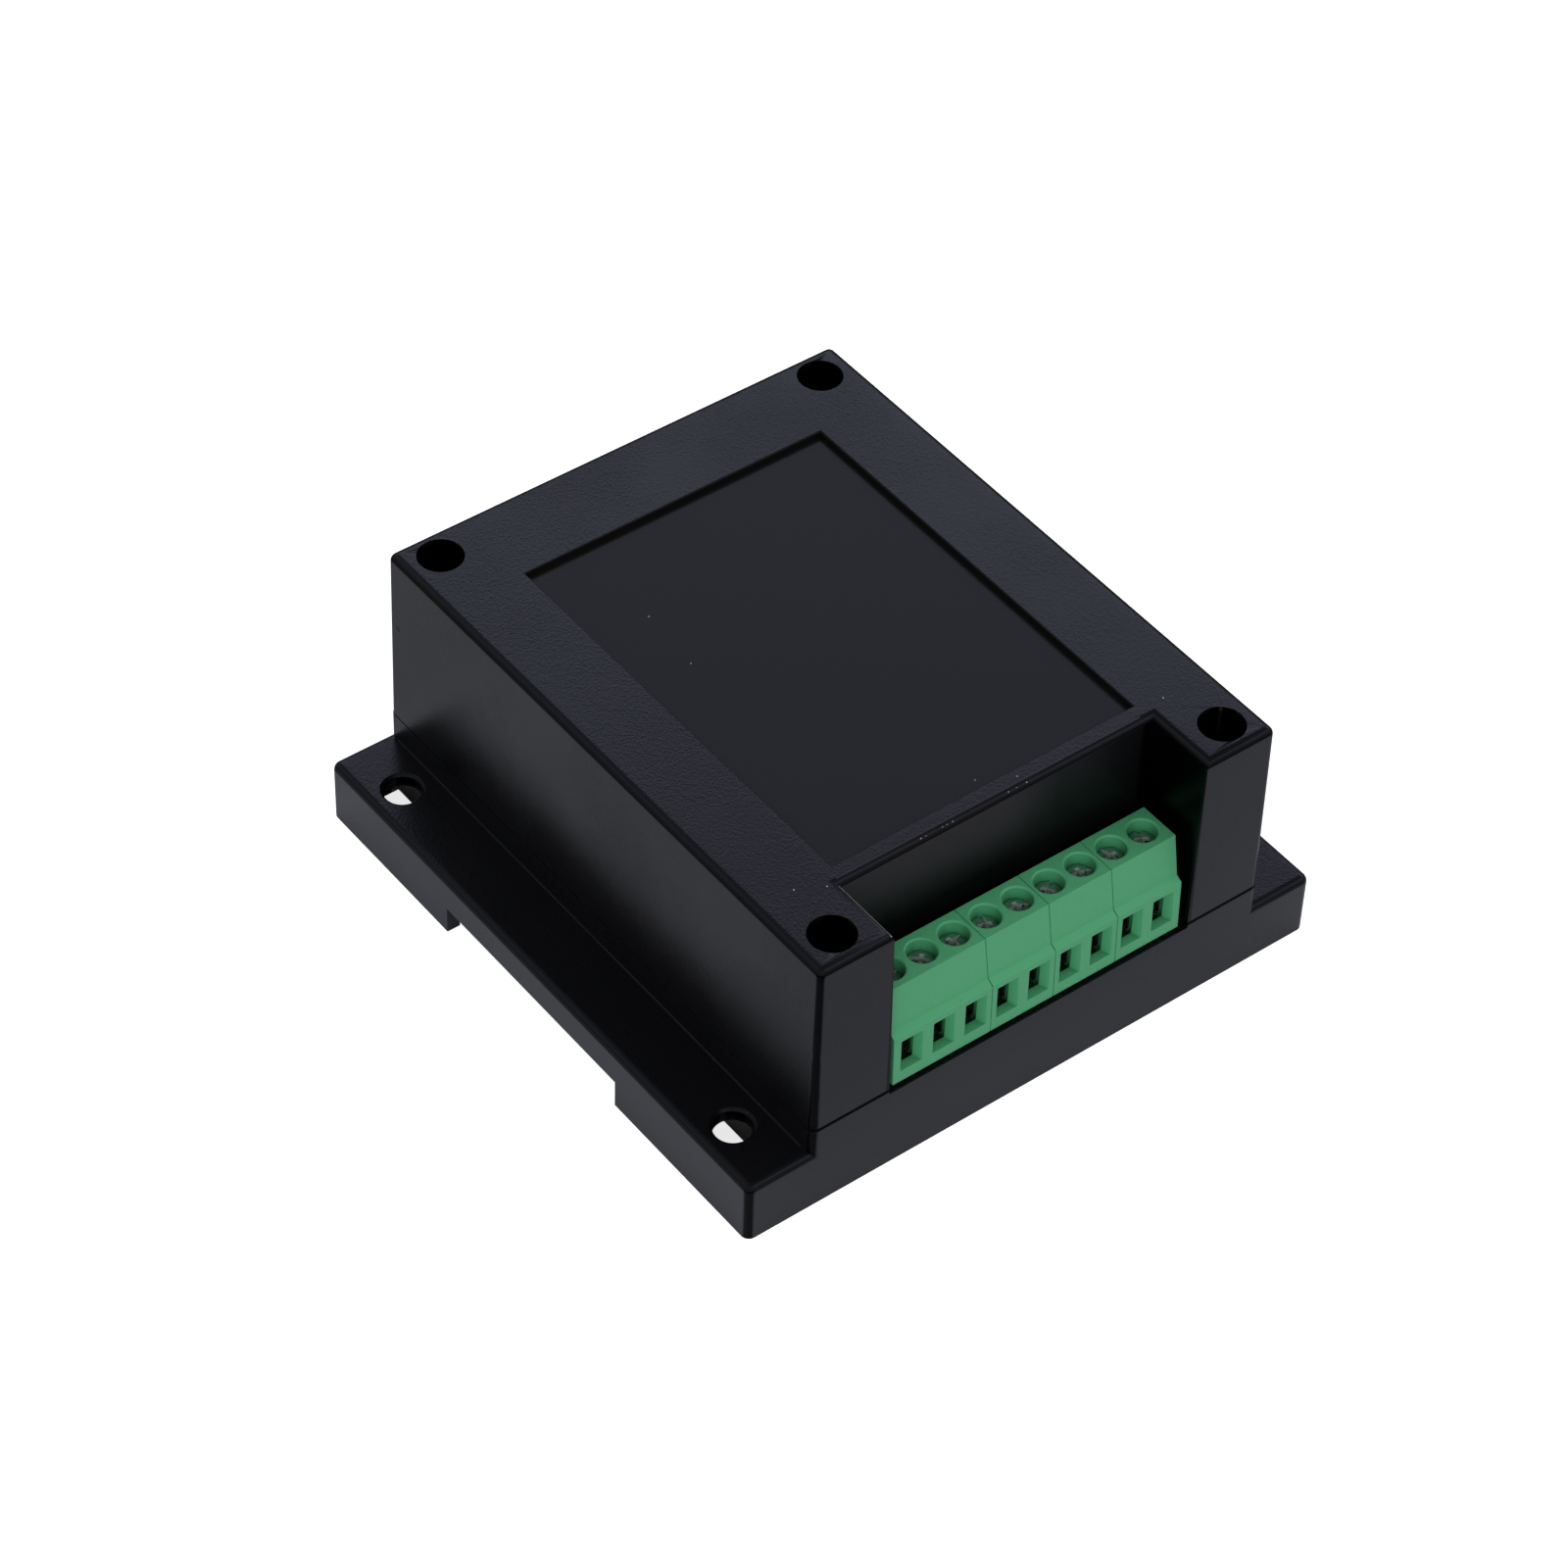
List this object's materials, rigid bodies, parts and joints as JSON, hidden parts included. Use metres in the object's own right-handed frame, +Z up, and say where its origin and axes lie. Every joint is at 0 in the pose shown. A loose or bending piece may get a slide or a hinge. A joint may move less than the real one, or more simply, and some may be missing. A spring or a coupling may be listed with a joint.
{
  "type": "plastic project box",
  "caption": "Low square plastic enclosure with side mounting flanges, a rail channel underneath and a recessed row of screw terminals in its front",
  "frame": {"origin": "middle of the underside of the box, at rest on its underside", "axes": "+X to the right along the terminal face, +Y to the back, +Z up"},
  "size_m": [0.092, 0.092, 0.042],
  "materials": {
    "box_black": "fine spark-eroded grain",
    "clip_black": "smooth moulded",
    "terminal_green": "satin moulded",
    "board_green": "solder mask",
    "screw_zinc": "zinc plated",
    "cage_nickel": "nickel plated",
    "contact_tin": "tin plated brass"
  },
  "bodies": {
    "box": {"base": "box_black", "cover": "box_black", "circuit_board": "board_green", "cover_screw_1": "screw_zinc", "board_screw_1": "screw_zinc", "terminal_block_1": "terminal_green", "cover_screw_2": "screw_zinc", "board_screw_2": "screw_zinc", "terminal_block_2": "terminal_green", "cover_screw_3": "screw_zinc", "board_screw_3": "screw_zinc", "terminal_block_3": "terminal_green", "cover_screw_4": "screw_zinc", "board_screw_4": "screw_zinc", "terminal_block_4": "terminal_green", "contact_1": "contact_tin", "contact_2": "contact_tin", "contact_3": "contact_tin", "contact_4": "contact_tin", "contact_5": "contact_tin", "contact_6": "contact_tin", "contact_7": "contact_tin", "contact_8": "contact_tin", "contact_9": "contact_tin"},
    "rail_clip": {"rail_clip": "clip_black"},
    "clamp_screw_1": {"clamp_screw_1": "screw_zinc"},
    "wire_cage_1": {"wire_cage_1": "cage_nickel"},
    "clamp_screw_2": {"clamp_screw_2": "screw_zinc"},
    "wire_cage_2": {"wire_cage_2": "cage_nickel"},
    "clamp_screw_3": {"clamp_screw_3": "screw_zinc"},
    "wire_cage_3": {"wire_cage_3": "cage_nickel"},
    "clamp_screw_4": {"clamp_screw_4": "screw_zinc"},
    "wire_cage_4": {"wire_cage_4": "cage_nickel"},
    "clamp_screw_5": {"clamp_screw_5": "screw_zinc"},
    "wire_cage_5": {"wire_cage_5": "cage_nickel"},
    "clamp_screw_6": {"clamp_screw_6": "screw_zinc"},
    "wire_cage_6": {"wire_cage_6": "cage_nickel"},
    "clamp_screw_7": {"clamp_screw_7": "screw_zinc"},
    "wire_cage_7": {"wire_cage_7": "cage_nickel"},
    "clamp_screw_8": {"clamp_screw_8": "screw_zinc"},
    "wire_cage_8": {"wire_cage_8": "cage_nickel"},
    "clamp_screw_9": {"clamp_screw_9": "screw_zinc"},
    "wire_cage_9": {"wire_cage_9": "cage_nickel"}
  },
  "joints": [
    {"name": "rail_clip_slide", "type": "slide", "parent": "box", "child": "rail_clip", "axis": [0, 1, 0], "range_m": [0, 0.003]},
    {"name": "screw_1_turn", "type": "hinge", "parent": "box", "child": "clamp_screw_1", "pos_m": [-0.02052, -0.0401, 0.02545], "axis": [0, 0, -1], "range_deg": [0, 2400]},
    {"name": "cage_1_rise", "type": "slide", "parent": "box", "child": "wire_cage_1", "axis": [0, 0, 1], "range_m": [0, 0.003]},
    {"name": "screw_2_turn", "type": "hinge", "parent": "box", "child": "clamp_screw_2", "pos_m": [-0.01544, -0.0401, 0.02545], "axis": [0, 0, -1], "range_deg": [0, 2400]},
    {"name": "cage_2_rise", "type": "slide", "parent": "box", "child": "wire_cage_2", "axis": [0, 0, 1], "range_m": [0, 0.003]},
    {"name": "screw_3_turn", "type": "hinge", "parent": "box", "child": "clamp_screw_3", "pos_m": [-0.01036, -0.0401, 0.02545], "axis": [0, 0, -1], "range_deg": [0, 2400]},
    {"name": "cage_3_rise", "type": "slide", "parent": "box", "child": "wire_cage_3", "axis": [0, 0, 1], "range_m": [0, 0.003]},
    {"name": "screw_4_turn", "type": "hinge", "parent": "box", "child": "clamp_screw_4", "pos_m": [-0.00528, -0.0401, 0.02545], "axis": [0, 0, -1], "range_deg": [0, 2400]},
    {"name": "cage_4_rise", "type": "slide", "parent": "box", "child": "wire_cage_4", "axis": [0, 0, 1], "range_m": [0, 0.003]},
    {"name": "screw_5_turn", "type": "hinge", "parent": "box", "child": "clamp_screw_5", "pos_m": [-0.0002, -0.0401, 0.02545], "axis": [0, 0, -1], "range_deg": [0, 2400]},
    {"name": "cage_5_rise", "type": "slide", "parent": "box", "child": "wire_cage_5", "axis": [0, 0, 1], "range_m": [0, 0.003]},
    {"name": "screw_6_turn", "type": "hinge", "parent": "box", "child": "clamp_screw_6", "pos_m": [0.00488, -0.0401, 0.02545], "axis": [0, 0, -1], "range_deg": [0, 2400]},
    {"name": "cage_6_rise", "type": "slide", "parent": "box", "child": "wire_cage_6", "axis": [0, 0, 1], "range_m": [0, 0.003]},
    {"name": "screw_7_turn", "type": "hinge", "parent": "box", "child": "clamp_screw_7", "pos_m": [0.00996, -0.0401, 0.02545], "axis": [0, 0, -1], "range_deg": [0, 2400]},
    {"name": "cage_7_rise", "type": "slide", "parent": "box", "child": "wire_cage_7", "axis": [0, 0, 1], "range_m": [0, 0.003]},
    {"name": "screw_8_turn", "type": "hinge", "parent": "box", "child": "clamp_screw_8", "pos_m": [0.01504, -0.0401, 0.02545], "axis": [0, 0, -1], "range_deg": [0, 2400]},
    {"name": "cage_8_rise", "type": "slide", "parent": "box", "child": "wire_cage_8", "axis": [0, 0, 1], "range_m": [0, 0.003]},
    {"name": "screw_9_turn", "type": "hinge", "parent": "box", "child": "clamp_screw_9", "pos_m": [0.02012, -0.0401, 0.02545], "axis": [0, 0, -1], "range_deg": [0, 2400]},
    {"name": "cage_9_rise", "type": "slide", "parent": "box", "child": "wire_cage_9", "axis": [0, 0, 1], "range_m": [0, 0.003]}
  ],
  "couplings": [
    {"joint": "screw_1_turn", "follows": "cage_1_rise", "rad_per_m": 13963},
    {"joint": "screw_2_turn", "follows": "cage_2_rise", "rad_per_m": 13963},
    {"joint": "screw_3_turn", "follows": "cage_3_rise", "rad_per_m": 13963},
    {"joint": "screw_4_turn", "follows": "cage_4_rise", "rad_per_m": 13963},
    {"joint": "screw_5_turn", "follows": "cage_5_rise", "rad_per_m": 13963},
    {"joint": "screw_6_turn", "follows": "cage_6_rise", "rad_per_m": 13963},
    {"joint": "screw_7_turn", "follows": "cage_7_rise", "rad_per_m": 13963},
    {"joint": "screw_8_turn", "follows": "cage_8_rise", "rad_per_m": 13963},
    {"joint": "screw_9_turn", "follows": "cage_9_rise", "rad_per_m": 13963}
  ]
}
